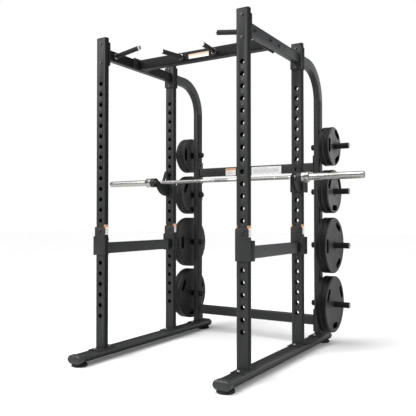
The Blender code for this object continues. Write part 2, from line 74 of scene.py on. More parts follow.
# ---- materials -------------------------------------------------------------------------------
class Look:
    """A Principled material with short calls for its nodes."""

    def __init__(self, name, colour, metallic=0.0, rough=0.5, **sockets):
        self.mat = bpy.data.materials.new(name)
        self.mat.use_nodes = True
        self.tree = self.mat.node_tree
        self.shader = self.tree.nodes["Principled BSDF"]
        self.shader.inputs["Base Color"].default_value = (*colour, 1)
        self.shader.inputs["Metallic"].default_value = metallic
        self.shader.inputs["Roughness"].default_value = rough
        for key, value in sockets.items():
            self.shader.inputs[key.replace("_", " ")].default_value = value
        self.mat.diffuse_color = (*colour, 1)
        self.place = self.node("TexCoord").outputs["Object"]

    def node(self, kind, **values):
        made = self.tree.nodes.new("ShaderNode" + kind)
        for key, value in values.items():
            if key in made.bl_rna.properties:
                setattr(made, key, value)
            else:
                made.inputs[key.replace("_", " ")].default_value = value
        return made

    def link(self, a, b):
        self.tree.links.new(a, b)

    def stretched(self, scale):
        mapping = self.node("Mapping")
        mapping.inputs["Scale"].default_value = scale
        self.link(self.place, mapping.inputs["Vector"])
        return mapping.outputs["Vector"]

    def noise(self, scale, detail=3.0, rough=0.55, place=None):
        made = self.node("TexNoise", Scale=scale, Detail=detail, Roughness=rough)
        self.link(place or self.place, made.inputs["Vector"])
        return made.outputs["Fac"]

    def ramp(self, value, low, high, a, b):
        """The value between low and high, as a number between a and b."""
        made = self.node("MapRange")
        for index, number in enumerate((low, high, a, b), 1):
            made.inputs[index].default_value = number
        self.link(value, made.inputs[0])
        return made.outputs[0]

    def math(self, operation, a, b=None):
        made = self.node("Math", operation=operation)
        for socket, value in zip(made.inputs, (a, b)):
            if isinstance(value, (int, float)):
                socket.default_value = value
            elif value is not None:
                self.link(value, socket)
        return made.outputs[0]

    def mix(self, factor, a, b):
        """A colour between a and b, each a colour or a socket."""
        made = self.node("Mix", data_type="RGBA")
        self.link(factor, made.inputs[0])
        for socket, value in ((made.inputs[6], a), (made.inputs[7], b)):
            if isinstance(value, tuple):
                socket.default_value = (*value, 1)
            else:
                self.link(value, socket)
        return made.outputs[2]

    def shade(self, name, socket):
        self.link(socket, self.shader.inputs[name])

    def bump(self, height, strength, distance=0.0005):
        made = self.node("Bump", Strength=strength, Distance=distance)
        self.link(height, made.inputs["Height"])
        previous = self.shader.inputs["Normal"]
        if previous.is_linked:
            self.link(previous.links[0].from_socket, made.inputs["Normal"])
        self.link(made.outputs["Normal"], previous)
        return self


def times(colour, k):
    return tuple(min(1.0, c * k) for c in colour)


def coat(name, colour, rough=0.46, grain=0.25, edge_wear_and_highlight=0.35, shine=0.34):
    """Fine-texture powder coat: orange peel, sparse sparkle, and edges painted lighter, partly as rubbed
    wear and partly as a painted highlight.
    """
    look = Look(name, colour, rough=rough, Specular_IOR_Level=shine)
    fine = look.noise(1500, 2)
    cloud = look.noise(5, 4)
    body = look.mix(look.ramp(cloud, 0.3, 0.7, 0, 1), times(colour, 0.86), times(colour, 1.14))
    fleck = look.ramp(look.noise(900, 1), 0.60, 0.72, 0, 0.55)
    body = look.mix(fleck, body, times(colour, 1.9))
    # Convex edges painted lighter: part rubbed wear, part painted highlight where rounded corners catch
    # light.
    edge = look.ramp(look.node("NewGeometry").outputs["Pointiness"], 0.515, 0.60, 0, edge_wear_and_highlight)
    look.shade("Base Color", look.mix(edge, body, times(colour, 2.6)))
    look.shade("Roughness", look.ramp(fine, 0.3, 0.7, rough - 0.07, rough + 0.09))
    return look.bump(fine, grain, 0.0004).bump(look.noise(260, 2), 0.10, 0.0006).mat


def rubber(name, colour, rough=0.7, pattern=0):
    look = Look(name, colour, rough=rough, Specular_IOR_Level=0.35)
    dust = look.ramp(look.noise(14, 5), 0.45, 0.75, 0, 0.5)
    look.shade("Base Color", look.mix(dust, colour, times(colour, 2.2)))
    look.shade("Roughness", look.ramp(look.noise(60), 0.3, 0.7, rough - 0.1, rough + 0.1))
    if pattern:
        cells = look.node("TexVoronoi", Scale=pattern)
        look.link(look.place, cells.inputs["Vector"])
        look.bump(cells.outputs["Distance"], 0.5, 0.0008)
    return look.bump(look.noise(700), 0.2, 0.0004).mat


def metal(name, colour, rough, stretch, grain=0.05, marks=0.12):
    """Plated steel with fine turning lines; stretch squeezes the lines' noise along each axis."""
    look = Look(name, colour, metallic=1.0, rough=rough)
    lines = look.noise(1, 4, place=look.stretched(stretch))
    smudge = look.noise(9, 5)
    handled = look.ramp(smudge, 0.35, 0.75, 0, 1)
    look.shade("Base Color", look.mix(handled, colour, times(colour, 1 - marks)))
    turned = look.ramp(lines, 0.3, 0.7, -0.02, 0.02)
    dulled = look.ramp(smudge, 0.3, 0.8, rough, rough + 0.04)
    look.shade("Roughness", look.math("ADD", turned, dulled))
    return look.bump(lines, grain, 0.0002)


def knurled(name, colour, rough):
    """A diamond knurl round a bar that lies along X."""
    look = metal(name, colour, rough, (900, 40, 40))
    split = look.node("SeparateXYZ")
    look.link(look.place, split.inputs[0])
    around = look.math("MULTIPLY", look.math("ARCTAN2", split.outputs[2], split.outputs[1]), 0.014)
    heights = []
    for operation in ("ADD", "SUBTRACT"):
        angle = look.math("MULTIPLY", look.math(operation, split.outputs[0], around), 2 * pi / 0.0022)
        heights.append(look.math("ABSOLUTE", look.math("SINE", angle)))
    look.bump(look.math("MINIMUM", *heights), 0.25, 0.0003)
    return look.mat


COAT = coat("coat_charcoal", (0.0115, 0.0120, 0.0120))
# A lighter copy of the charcoal coat, painted on lit faces as light.
COAT_PAINTED_LIT = coat("coat_painted_lit", (0.018, 0.019, 0.020), rough=0.42)
# A near-black copy of the coat: painted shade on sides, undersides, grooves and hollows, and the colour
# of some dark parts.
COAT_DARK_AND_SHADE = coat("coat_dark_and_painted_shade", (0.0022, 0.0022, 0.0023), rough=0.55, edge_wear_and_highlight=0.15, shine=0.20)
# A darker copy of the coat, painted shade on the lower flanks of the arches.
COAT_FLANK_SHADE = coat("coat_flank_painted_shade", (0.0050, 0.0050, 0.0051), rough=0.50, edge_wear_and_highlight=0.15, shine=0.20)
COAT_STRIP = coat("coat_strip", (0.010, 0.010, 0.009), rough=0.50)
# A lighter copy of the coat, a painted highlight on the rails' upper shoulders.
SHOULDER_HIGHLIGHT = coat("coat_shoulder_painted_highlight", (0.026, 0.027, 0.028), rough=0.40)
CAP = coat("cap_moulding", (0.026, 0.027, 0.027), rough=0.40, edge_wear_and_highlight=0.2)
IRON_LIGHT = coat("plate_enamel_light", (0.036, 0.036, 0.037), rough=0.46, grain=0.4)
IRON = coat("plate_enamel", (0.0150, 0.0150, 0.0153), rough=0.50, grain=0.4)
IRON_DEEP = coat("plate_enamel_deep", (0.0090, 0.0090, 0.0092), rough=0.52, grain=0.4)
# Near-black enamel, painted shade on the plates' rims and slot walls.
IRON_RIM_SHADE = coat("plate_rim_painted_shade", (0.0022, 0.0022, 0.0023), rough=0.50, grain=0.4, edge_wear_and_highlight=0.1, shine=0.20)
HUB = coat("plate_hub", (0.0035, 0.0035, 0.0036), rough=0.42, edge_wear_and_highlight=0.3, shine=0.25)
RUBBER = rubber("rubber_black", (0.006, 0.006, 0.006))
GRIP = rubber("rubber_grip", (0.005, 0.005, 0.005), rough=0.6, pattern=420)
PLASTIC = rubber("plastic_black", (0.007, 0.007, 0.007), rough=0.42)
CHROME = metal("chrome_turned", (0.37, 0.365, 0.355), 0.22, (900, 30, 30), 0.02, 0.08).mat
ZINC = metal("zinc_bolt", (0.42, 0.42, 0.41), 0.28, (300, 300, 300), 0.1).mat
BOLT = metal("bolt_black", (0.060, 0.060, 0.062), 0.34, (300, 300, 300), 0.1).mat
BRIGHT = metal("chrome_bright", (0.82, 0.82, 0.80), 0.30, (300, 300, 300), 0.02, 0.05).mat
KNURL = knurled("chrome_knurl", (0.22, 0.218, 0.210), 0.32)


def vinyl(name, colour, rough=0.35):
    look = Look(name, colour, rough=rough, Coat_Weight=0.3)
    grime = look.ramp(look.noise(40, 5), 0.45, 0.8, 0, 0.6)
    look.shade("Base Color", look.mix(grime, colour, times(colour, 0.86)))
    return look.bump(look.noise(350), 0.08, 0.0003).mat


WHITE = vinyl("vinyl_white", (0.72, 0.72, 0.71))
ORANGE = vinyl("vinyl_orange", (0.72, 0.27, 0.05))
GREY = vinyl("vinyl_grey", (0.36, 0.37, 0.38))
PANEL = vinyl("vinyl_panel", (0.56, 0.57, 0.57))
MARK = vinyl("mark_paint", (0.030, 0.030, 0.031))


# ---- mesh tools ------------------------------------------------------------------------------
AXES = {"X": ((0, 1, 0), (0, 0, 1), (1, 0, 0)),
        "Y": ((1, 0, 0), (0, 0, 1), (0, 1, 0)),
        "Z": ((1, 0, 0), (0, 1, 0), (0, 0, 1))}


def finished(bm):
    bm.normal_update()
    bmesh.ops.recalc_face_normals(bm, faces=bm.faces)
    mesh = bpy.data.meshes.new("piece")
    bm.to_mesh(mesh)
    bm.free()
    return mesh


def loft(rings, closed=False):
    """Skins rings of points; the two ends are capped unless the rings close on themselves."""
    bm = bmesh.new()
    rows = [[bm.verts.new(p) for p in ring] for ring in rings]
    pairs = list(zip(rows, rows[1:] + rows[:1] if closed else rows[1:]))
    for low, high in pairs:
        for i in range(len(low)):
            j = (i + 1) % len(low)
            bm.faces.new((low[i], low[j], high[j], high[i]))
    if not closed:
        bm.faces.new(rows[0][::-1])
        bm.faces.new(rows[-1])
    return finished(bm)


def ring(section, axis, t, centre=(0, 0)):
    """A flat section standing at t along an axis."""
    u, v, w = (Vector(a) for a in AXES[axis])
    return [u * (a + centre[0]) + v * (b + centre[1]) + w * t for a, b in section]


def rounded(w, h, r, n=7):
    """A w by h rectangle with corners of radius r, each in n steps."""
    points = []
    for cx, cy, start in ((w / 2 - r, h / 2 - r, 0), (r - w / 2, h / 2 - r, 90),
                          (r - w / 2, r - h / 2, 180), (w / 2 - r, r - h / 2, 270)):
        points += arc(cx, cy, r, r, start, start + 90, n)
    return points


def eased(edge, steps):
    """(inset, depth) pairs of a rounded end."""
    turns = [pi / 2 * i / steps for i in range(steps + 1)]
    return [(edge * (1 - sin(t)), edge * (1 - cos(t))) for t in turns]


def slab(axis, w, h, r, a, b, centre=(0, 0), edge=0.0015, steps=3, n=7):
    """A rounded-rectangle bar or plate from a to b along an axis, with eased ends."""
    ends = eased(edge, steps)
    stations = [(a + d, i) for i, d in ends] + [(b - d, i) for i, d in reversed(ends)]
    return loft([ring(rounded(w - 2 * i, h - 2 * i, max(r - i, 0.0004), n), axis, t, centre)
                 for t, i in stations])


def circle(r, n=48, turn=0.0):
    return [(r * cos(2 * pi * i / n + turn), r * sin(2 * pi * i / n + turn)) for i in range(n)]


def lathe(axis, profile, centre=(0, 0), n=48, closed=False):
    """A turned body; the profile is (radius, place along the axis)."""
    return loft([ring(circle(r, n), axis, t, centre) for r, t in profile], closed)


def prism(axis, outline, a, b, width=0.0012, segments=2):
    """A flat outline given a thickness, its edges eased."""
    mesh = loft([ring(outline, axis, a), ring(outline, axis, b)])
    return softened(mesh, width, segments)


def softened(mesh, width, segments=2, angle=35):
    bm = bmesh.new()
    bm.from_mesh(mesh)
    sharp = [e for e in bm.edges if e.is_manifold and e.calc_face_angle() > radians(angle)]
    bmesh.ops.bevel(bm, geom=sharp, offset=width, segments=segments, profile=0.5,
                    affect="EDGES", clamp_overlap=True)
    return finished(bm)


def arc(cy, cz, ry, rz, start, end, steps):
    return [(cy + ry * cos(radians(start + (end - start) * i / steps)),
             cz + rz * sin(radians(start + (end - start) * i / steps))) for i in range(steps + 1)]


def united(*meshes):
    """Shapes that stay separate shells, in one mesh."""
    bm = bmesh.new()
    for mesh in meshes:
        bm.from_mesh(mesh)
    mesh = bpy.data.meshes.new("piece")
    bm.to_mesh(mesh)
    bm.free()
    return mesh


def cut(mesh, *others):
    made = bpy.data.objects.new("work", mesh)
    scene.collection.objects.link(made)
    tools = []
    for other in others:
        tools.append(bpy.data.objects.new("tool", other))
        scene.collection.objects.link(tools[-1])
        step = made.modifiers.new("cut", "BOOLEAN")
        step.operation, step.solver, step.object = "DIFFERENCE", "EXACT", tools[-1]
    bpy.context.view_layer.update()
    graph = bpy.context.evaluated_depsgraph_get()
    result = bpy.data.meshes.new_from_object(made.evaluated_get(graph))
    for item in [made] + tools:
        bpy.data.objects.remove(item)
    return result


def moved(mesh, offset=(0, 0, 0), turn=None):
    copy = mesh.copy()
    if turn is not None:
        copy.transform(turn)
    copy.transform(Matrix.Translation(offset))
    return copy


def mirrored(mesh):
    copy = mesh.copy()
    copy.transform(Matrix.Scale(-1, 4, (1, 0, 0)))
    copy.flip_normals()
    return copy


def aim(origin, direction):
    """Stands a shape built along +Z at a point, facing a direction."""
    direction = Vector(direction)
    return Matrix.Translation(origin) @ direction.to_track_quat("Z", "Y").to_matrix().to_4x4()


def paint(mesh, rule, *materials):
    """Gives each face the material that the rule picks from its centre and normal."""
    mesh.materials.clear()
    for material in materials:
        mesh.materials.append(material)
    for face in mesh.polygons:
        face.material_index = rule(face.center, face.normal)
    return mesh


def put(name, mesh, body, material=None, cad=(), angle=32):
    """One visible piece, riding on its body."""
    if material:
        mesh.materials.clear()
        mesh.materials.append(material)
    mesh.shade_smooth()
    mesh.set_sharp_from_angle(angle=radians(angle))
    made = bpy.data.objects.new(name, mesh)
    scene.collection.objects.link(made)
    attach(made, body)
    if cad:
        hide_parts(*cad)
    return made


def both(name, mesh, body, material=None, cad=None, angle=32):
    """A right-hand piece and its mirror image. Names may hold %s for the side."""
    if material:
        mesh.materials.clear()
        mesh.materials.append(material)
    for side, sign in SIDES:
        shape = mesh if sign > 0 else mirrored(mesh)
        nodes = [c % side for c in (cad or ())]
        put(name % side, shape, body % side if "%s" in body else body, cad=nodes, angle=angle)


# ---- bolts -----------------------------------------------------------------------------------
def bolt_mesh(size, head):
    """A hex head with a chamfered top on a washer, standing on Z = 0."""
    washer = lathe("Z", [(size * 1.30, 0), (size * 1.38, 0.0004), (size * 1.38, 0.0014),
                         (size * 1.30, 0.0018)], n=32)
    corners = circle(size * 1.12, 6)
    levels = [(1.0, 0.0018), (1.0, head - 0.0012), (0.90, head), (0.55, head + 0.0001)]
    hexagon = loft([ring([(u * k, v * k) for u, v in corners], "Z", z) for k, z in levels])
    return united(washer, hexagon)


BOLT_M12 = bolt_mesh(0.0095, 0.0090)
BOLT_M10 = bolt_mesh(0.0080, 0.0075)


def bolt(name, origin, direction, shape=BOLT_M12, material=BOLT):
    put(name, moved(shape, turn=aim(origin, direction)), "cage", material, angle=25)


# ---- base rails, caps, feet ------------------------------------------------------------------
def rail_section(growth=0.0, groove=0.0008, n=14):
    """The flat oval of a base rail, with two fine grooves along its top."""
    half, flat, rise = 0.0575 + growth, 0.025, 0.027 + growth
    side = []
    for i in range(n + 1):
        t = radians(90 - 180 * i / n)
        side.append((flat + (half - flat) * cos(t), rise * sin(t)))
    top = [(flat - 0.0062, rise), (flat - 0.0054, rise - groove),
           (flat - 0.0012, rise - groove), (flat - 0.0004, rise)]
    bottom = [(flat - 0.002, -rise)]
    right = top + side + bottom
    return right + [(-u, v) for u, v in reversed(right)]


def rail_paint(centre, normal):
    """Flat strip, groove painted near-black as shade, shoulders painted lighter as a highlight, and
    underside painted near-black as shade, of a rail.
    """
    x = abs(centre.x)
    if 0.0188 < x < 0.0246 and centre.z > RAIL_Z:
        return 2
    if normal.z > 0.95 and x < 0.0235:
        return 1
    return 0 if normal.z > 0.30 else 2 if normal.z < 0.0 else 3


section = rail_section()
rail = loft([ring(section, "Y", y, (0, RAIL_Z)) for y in (-0.8415, -0.840, 0.774, 0.7755)])
rail = paint(rail, rail_paint, SHOULDER_HIGHLIGHT, COAT_STRIP, COAT_DARK_AND_SHADE, COAT)
for side, sign in SIDES:
    put(f"rail_{side}_fine", moved(rail, (sign * SX, 0, 0)), "cage",
        cad=[f"base_rail_{side}"])


def cap_rings():
    """A domed end cap: a lip over the tube, then a rounded nose."""
    base = rail_section(0.0, 0.0)
    rings = []
    for y, growth in [(-0.8424, 0.0010), (-0.8432, 0.0020)] + [
            (-0.874 - 0.0138 * sin(radians(a)), 0.0020 - 0.013 * (1 - cos(radians(a))))
            for a in range(0, 91, 9)]:
        ku, kv = (0.0575 + growth) / 0.0575, (0.027 + growth * 1.9) / 0.027
        rings.append(ring([(u * ku, v * kv) for u, v in base], "Y", y, (0, RAIL_Z)))
    return rings


cap = loft(cap_rings())
half_turn = Matrix.Translation((0, -0.066, 0)) @ Matrix.Rotation(pi, 4, "Z")
foot = lathe("Z", [(0.047, 0.0), (0.0515, 0.0008), (0.054, 0.003), (0.055, 0.006), (0.055, 0.0105),
                   (0.0535, 0.0120), (0.0528, 0.0125), (0.0520, 0.0150), (0.049, 0.0180),
                   (0.046, 0.0186), (0.0125, 0.0186), (0.0122, 0.0226)], n=64)
for side, sign in SIDES:
    for end, turn, y in (("front", None, -0.826), ("rear", half_turn, 0.760)):
        offset = Matrix.Translation((sign * SX, 0, 0))
        turn = offset @ turn if turn else offset
        put(f"cap_{end}_{side}_fine", moved(cap, turn=turn), "cage", CAP,
            cad=[f"rail_cap_{end}_{side}"])
        put(f"foot_{end}_{side}_fine", moved(foot, (sign * SX, y, 0)), "cage", RUBBER,
            cad=[f"foot_{end}_{side}"])


# ---- uprights --------------------------------------------------------------------------------
def saddle(depth, reach=0.070):
    """The foot plate that hugs the rail, with eased corners."""
    outer = [(u, v) for u, v in rail_section(0.0066, 0.0) if v > 0 and abs(u) < 0.0502]
    inner = [(u, v) for u, v in rail_section(0.0004, 0.0) if v > 0 and abs(u) < 0.0502]
    outer.sort()
    inner.sort(reverse=True)
    return softened(loft([ring(outer + inner, "Y", y, (0, RAIL_Z))
                          for y in (-depth / 2 - reach, depth / 2 + reach)]), 0.0014, 2)


def hole_tool(radius, half, flare=0.0030, depth=0.0012):
    """A cutter with a shallow countersink where it leaves each wall."""
    wide = radius + flare
    return [(wide, -half - 0.010), (wide, -half), (radius, -half + depth),
            (radius, half - depth), (wide, half), (wide, half + 0.010)]


def upright_paint(centre, normal):
    """Sides painted near-black as shade; hole walls and countersinks painted near-black, part a dark hole
    edge and part shade; the front and back stay lighter.
    """
    side = abs(normal.x) > 0.62 and abs(centre.x) > 0.037
    return 1 if side or abs(centre.x) < 0.019 and abs(normal.y) < 0.97 else 0


tube = loft([ring(rounded(*UPRIGHT, 9), "Z", z) for z in (0.060, 2.2850)])
bore = loft([ring(rounded(0.083, 0.036, 0.010, 9), "Z", z) for z in (0.030, 2.3200)])
tools = united(*(lathe("Y", hole_tool(0.0143, 0.021), (0, z), n=32) for z in HOLES))
clear = loft([ring(rail_section(0.0004, 0.0), "Y", y, (0, RAIL_Z)) for y in (-0.15, 0.15)])
tube = paint(cut(tube, bore, clear, tools), upright_paint, COAT, COAT_DARK_AND_SHADE)
upright_foot = saddle(0.042)
top_cap = united(
    slab("Z", 0.0895, 0.0425, 0.0132, 2.2853, 2.2908, edge=0.0022, steps=5, n=9),
    slab("Z", 0.0815, 0.0345, 0.0100, 2.2650, 2.2860, edge=0.0010, n=9),
)
dash = united(*(slab("Y", 0.0100, 0.0042, 0.0008, -0.02125, -0.02085, (0, z + HOLE_PITCH / 2),
                     edge=0.0001, steps=1, n=2) for z in HOLES[:-1]))
for side, sign in SIDES:
    for end, y in (("front", FRONT_Y), ("rear", REAR_Y)):
        at = (sign * SX, y, 0)
        put(f"upright_{end}_{side}_fine", moved(tube, at), "cage",
            cad=[f"upright_{end}_{side}"])
        put(f"upright_foot_{end}_{side}", moved(upright_foot, at), "cage", COAT)
        put(f"upright_cap_{end}_{side}_fine", moved(top_cap, at), "cage", PLASTIC,
            cad=[f"upright_cap_{end}_{side}"])
        put(f"hole_marks_{end}_{side}", moved(dash, at), "cage", MARK)
        for n, step in enumerate((-0.071, 0.071)):
            bolt(f"bolt_foot_{end}_{side}_{n}", (at[0], y + step, SADDLE_TOP), (0, 0, 1), BOLT_M10, ZINC)
        face = y - 0.021
        for n, z in enumerate((2.248, 2.109)):
            if end == "front":
                bolt(f"bolt_upright_{side}_{n}", (at[0], face, z), (0, -1, 0), BOLT_M10)


# ---- labels, without lettering ---------------------------------------------------------------
def label(name, face, centre, width, height, stripes):
    """A sticker that faces the front. A stripe is (from, to, left, right, material), in fractions."""
    cu, cv = centre
    top = face - STICKER_T
    base = slab("Y", width, height, 0.002, top, face, centre, edge=0.0001, steps=1, n=3)
    put(name, base, "cage", WHITE)
    for n, (low, high, left, right, material) in enumerate(stripes):
        w, h = width * (right - left), height * (high - low)
        at = (cu + width * ((left + right) / 2 - 0.5), cv + height * ((low + high) / 2 - 0.5))
        bit = slab("Y", w, h, 0.0006, top - PRINT_T, top, at, edge=0.0001, steps=1, n=2)
        put(f"{name}_{n}", bit, "cage", material)


def wrap(start, end, low, high, reach=1.0):
    """A layer bent round the side of an upright, start to end above its skin, from low to high."""
    width, depth, corner = UPRIGHT
    paths = []
    for t in (start, end):
        path = [(u, v) for u, v in rounded(width + 2 * t, depth + 2 * t, corner + t, 9)
                if u > 0.0330 and abs(v) < 0.0215 * reach]
        paths.append(sorted(path, key=lambda p: atan2(p[1], p[0] - 0.030)))
    return loft([ring(paths[1] + paths[0][::-1], "Z", z) for z in (low, high)])


STICKER_SKIN, PRINT_SKIN = (0.0001, 0.0004), (0.0003, 0.0006)
sticker = wrap(*STICKER_SKIN, 0.884, 0.954)
stripe = wrap(*PRINT_SKIN, 0.938, 0.953)
lines = united(*(wrap(*PRINT_SKIN, z, z + 0.004, reach)
                 for z, reach in ((0.920, 0.8), (0.909, 0.7), (0.896, 0.8))))
layers = (("base", sticker, WHITE), ("band", stripe, ORANGE), ("rows", lines, GREY))
for side, sign in SIDES:
    for end, y in (("front", FRONT_Y), ("rear", REAR_Y)):
        for face_name, face in (("outer", 1), ("inner", -1)):
            at = Matrix.Translation((sign * SX, y, 0))
            if sign * face < 0:
                at = at @ Matrix.Rotation(pi, 4, "Z")
            for layer, shape, material in layers:
                put(f"label_{end}_{side}_{face_name}_{layer}", moved(shape, turn=at), "cage",
                    material)

# ---- top side rails --------------------------------------------------------------------------
top = slab("Y", *TUBE, -0.5717, 0.2157, (SX, TOP_Z), edge=0.0003, steps=1)
# Painted light and shade: the outer face takes the lit copy of the coat, the inner face the shaded copy.
top = paint(top, lambda c, n: 2 if n.x < -0.7 else 0 if n.x > 0.7 else 1, COAT_PAINTED_LIT, COAT, COAT_DARK_AND_SHADE)
both("top_rail_%s_fine", top, "cage", cad=["top_rail_%s"])
flange = slab("Y", 0.088, 0.172, 0.012, -0.5817, -0.5707, (SX, 2.180), edge=0.0022)
both("flange_top_front_%s", flange, "cage", COAT)
both("flange_top_rear_%s", moved(flange, (0, 0.7964, 0)), "cage", COAT)
for side, sign in SIDES:
    for n, z in enumerate((2.248, 2.109)):
        bolt(f"bolt_flange_front_{side}_{n}", (sign * SX, -0.5707, z), (0, 1, 0), BOLT_M10)
        bolt(f"bolt_flange_rear_{side}_{n}", (sign * SX, 0.2147, z), (0, -1, 0), BOLT_M10)
    for n, y in enumerate((-0.495, -0.265, -0.129)):
        bolt(f"bolt_top_{side}_{n}", (sign * (SX + 0.025), y, 2.178), (sign, 0, 0))


# ---- pull-up handles -------------------------------------------------------------------------
RIB_PITCH = 0.006


def handle(name, start, end):
    """A pull-up handle: bright collar at the rail, ribbed rubber grip, bright end."""
    start, end = Vector(start), Vector(end)
    length = (end - start).length
    towards = aim(start, end - start)
    collar = lathe("Z", [(0.0200, 0.0004), (0.0208, 0.0012), (0.0208, 0.0125), (0.0200, 0.0135),
                         (0.0172, 0.0138)])
    grip_profile = [(0.0150, 0.0140), (0.0162, 0.0150)]
    for i in range(int((length - 0.026) / RIB_PITCH)):
        z = 0.016 + i * RIB_PITCH
        grip_profile += [(0.0165, z), (0.0165, z + 0.0036), (0.0159, z + 0.0042), (0.0159, z + 0.0054)]
    grip_profile += [(0.0162, length - 0.0090), (0.0150, length - 0.0083)]
    grip = lathe("Z", grip_profile)
    end_cap = lathe("Z", [(0.0160, length - 0.0080), (0.0164, length - 0.0072),
                          (0.0164, length - 0.0020), (0.0150, length - 0.0003), (0.0060, length)])
    both(f"handle_{name}_collar_%s", moved(collar, turn=towards), "cage", CHROME)
    both(f"handle_{name}_grip_%s", moved(grip, turn=towards), "cage", GRIP,
         cad=[f"grip_{name}_%s"])
    both(f"handle_{name}_end_%s", moved(end_cap, turn=towards), "cage", BRIGHT)


handle("outer", (0.545, -0.495, 2.180), (0.316, -0.501, 2.212))
handle("inner", (0.138, -0.232, 2.182), (0.170, -0.448, 2.179))

# ---- pull-up beam ----------------------------------------------------------------------------
beam = slab("X", 0.070, 0.075, 0.009, -FLANGE_IN, FLANGE_IN, (BEAM_Y, TOP_Z), edge=0.0003, steps=1)
# Painted shade: every face of the beam but its top takes the shaded copy of the coat.
beam = paint(beam, lambda c, n: 1 if n.z > 0.5 else 0, COAT_DARK_AND_SHADE, COAT)
put("beam_fine", beam, "cage", cad=["pull_up_beam"])
beam_flange = slab("X", 0.190, 0.088, 0.012, FLANGE_IN, FLANGE_OUT, (BEAM_Y, TOP_Z), edge=0.0018)
both("flange_beam_%s", beam_flange, "cage", COAT)
for side, sign in SIDES:
    for n, step in enumerate((-0.068, 0.068)):
        bolt(f"bolt_beam_{side}_{n}", (sign * FLANGE_IN, BEAM_Y + step, 2.178), (-sign, 0, 0), BOLT_M10)
label("label_beam", BEAM_Y - 0.035, (0.007, 2.1765), 0.170, 0.033,
      [(0.66, 0.97, 0.01, 0.99, ORANGE), (0.40, 0.50, 0.10, 0.60, GREY),
       (0.18, 0.28, 0.10, 0.85, GREY)])

# ---- storage arches --------------------------------------------------------------------------
BEND, BY, BZ = 0.244, STORE_Y - 0.244, TOP_Z - 0.244
arch_section = rounded(*TUBE)


def arch_rings():
    """The arch's section carried from the rear upright, round the bend and down to the rail."""
    rings = []
    stations = [(0.2790, TOP_Z, 90)] + [
        (BY + BEND * cos(radians(a)), BZ + BEND * sin(radians(a)), a) for a in range(90, -1, -5)
    ] + [(STORE_Y, 0.0600, 0)]
    for y, z, a in stations:
        out = Vector((0, cos(radians(a)), sin(radians(a))))
        rings.append([Vector((SX + u, y, z)) + out * v for u, v in arch_section])
    return rings


def arch_face(centre, normal):
    """Painted light outside the bend and on the upper flanks, charcoal towards the cage, painted shade
    down the lower flanks.
    """
    radial = Vector((0, max(centre.y - BY, 0.0), max(centre.z - BZ, 0.0)))
    if abs(normal.x) > 0.7:
        return 0 if centre.z > BZ else 2
    return 0 if normal.dot(radial) > 0 else 1


arch = cut(loft(arch_rings()), moved(clear, (SX, STORE_Y, 0)))
arch = paint(arch, arch_face, COAT_PAINTED_LIT, COAT, COAT_FLANK_SHADE)
both("arch_%s_fine", arch, "cage", cad=["storage_arch_%s"])
arch_flange = slab("Y", 0.088, 0.176, 0.012, 0.2683, 0.2793, (SX, 2.182), edge=0.0022)
both("flange_arch_%s", arch_flange, "cage", COAT)
both("arch_foot_%s", moved(saddle(0.075), (SX, STORE_Y, 0)), "cage", COAT)
for side, sign in SIDES:
    for n, z in enumerate((2.250, 2.112)):
        bolt(f"bolt_arch_{side}_{n}", (sign * SX, 0.2793, z), (0, 1, 0), BOLT_M10)
    for n, step in enumerate((-0.088, 0.088)):
        bolt(f"bolt_arch_foot_{side}_{n}", (sign * SX, STORE_Y + step, SADDLE_TOP), (0, 0, 1), BOLT_M10,
             ZINC)

# ---- weight horns ----------------------------------------------------------------------------
for n, z in enumerate(HORN_Z, 1):
    at = (STORE_Y, z)
    rod = lathe("X", [(0.0228, 0.594), (0.0228, 0.8190), (0.0215, 0.8226), (0.0190, 0.8236)], at)
    tip = lathe("X", [(0.0188, 0.8230), (0.0190, 0.8245), (0.0178, 0.8272), (0.0140, 0.8286),
                      (0.0060, 0.8290)], at)
    stub = lathe("X", [(0.0226, 0.546), (0.0226, 0.5245), (0.0215, 0.5195), (0.0180, 0.5168),
                       (0.0090, 0.5162)], at)
    both(f"horn_{n}_%s", rod, "cage", COAT_DARK_AND_SHADE)
    both(f"horn_{n}_tip_%s", tip, "cage", CHROME)
    both(f"horn_{n}_stub_%s", stub, "cage", COAT_DARK_AND_SHADE)

# ---- rear cross members ----------------------------------------------------------------------
for name, z, half in (("upper", 1.407, 0.096), ("lower", 0.189, 0.0895)):
    member = slab("X", 0.050, 0.076, 0.009, -FLANGE_IN, FLANGE_IN, (STORE_Y, z), edge=0.0003, steps=1)
    put(f"cross_{name}_fine", member, "cage", COAT, cad=[f"cross_member_{name}"])
    end = slab("X", 0.068, 2 * half, 0.012, FLANGE_IN, FLANGE_OUT, (STORE_Y, z), edge=0.0018)
    both(f"flange_cross_{name}_%s", end, "cage", COAT)
    for side, sign in SIDES:
        for n, step in enumerate((-0.066, 0.066)):
            bolt(f"bolt_cross_{name}_{side}_{n}", (sign * FLANGE_IN, STORE_Y, z + step), (-sign, 0, 0),
                 BOLT_M10)
face = STORE_Y - 0.025
label("label_cross", face, (-0.2175, 1.4025), 0.099, 0.062,
      [(0.72, 0.98, 0.02, 0.98, ORANGE), (0.45, 0.52, 0.1, 0.7, GREY), (0.2, 0.27, 0.1, 0.8, GREY)])
label("placard_cross", face, (0.123, 1.399), 0.274, 0.070,
      [(0.22, 0.74, 0.05, 0.93, PANEL), (0.80, 0.86, 0.05, 0.50, PANEL)])


